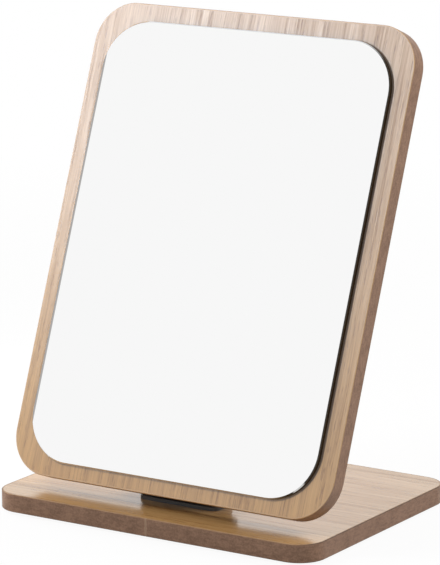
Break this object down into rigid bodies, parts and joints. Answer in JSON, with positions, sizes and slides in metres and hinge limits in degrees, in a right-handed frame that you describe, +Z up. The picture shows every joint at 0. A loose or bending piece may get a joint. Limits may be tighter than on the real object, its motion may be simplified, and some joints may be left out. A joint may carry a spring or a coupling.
{
  "type": "tabletop tilting mirror",
  "caption": "Frameless rounded mirror glass on a leaning wood-grain board, hinged to a flat rounded base board so that it tilts and stays where it is put.",
  "frame": {"origin": "on the floor plane (undersides of the feet), under the middle of the base board's outline", "axes": "+X to the right-hand side as the user faces the glass from the front, +Y to the back, +Z up; the mirror glass faces -Y and leans back"},
  "size_m": [0.2, 0.145, 0.2608],
  "materials": {
    "wood_grain_foil": "satin",
    "fibreboard": "raw",
    "brown_edge_band": "satin",
    "silvered_glass": "polished",
    "foam_tape": "matte",
    "foot_rubber": "matte",
    "black_leaf": "satin powder coat",
    "blackened_steel": "black oxide",
    "slide_plastic": "matte"
  },
  "bodies": {
    "base": {"base_core": "fibreboard", "base_top_foil": "wood_grain_foil", "base_bottom_foil": "wood_grain_foil", "base_edge_band": "brown_edge_band", "foot_front_left": "foot_rubber", "foot_front_right": "foot_rubber", "foot_back_left": "foot_rubber", "foot_back_right": "foot_rubber", "hinge_base_leaf": "black_leaf", "base_leaf_screws": "blackened_steel", "hinge_bolt": "blackened_steel", "friction_washer_left": "slide_plastic", "friction_washer_right": "slide_plastic", "thrust_washer": "blackened_steel", "disc_spring": "blackened_steel", "lock_nut": "blackened_steel"},
    "mirror_panel": {"panel_core": "fibreboard", "panel_front_foil": "wood_grain_foil", "panel_back_foil": "wood_grain_foil", "panel_edge_band": "brown_edge_band", "glass_tape": "foam_tape", "mirror_glass": "silvered_glass", "hinge_mirror_leaf": "black_leaf", "mirror_leaf_screws": "blackened_steel"}
  },
  "joints": [
    {"name": "mirror_tilt", "type": "hinge", "parent": "base", "child": "mirror_panel", "pos_m": [0, -0.034, 0.0198], "axis": [-1, 0, 0], "range_deg": [-17, 68.5]}
  ]
}
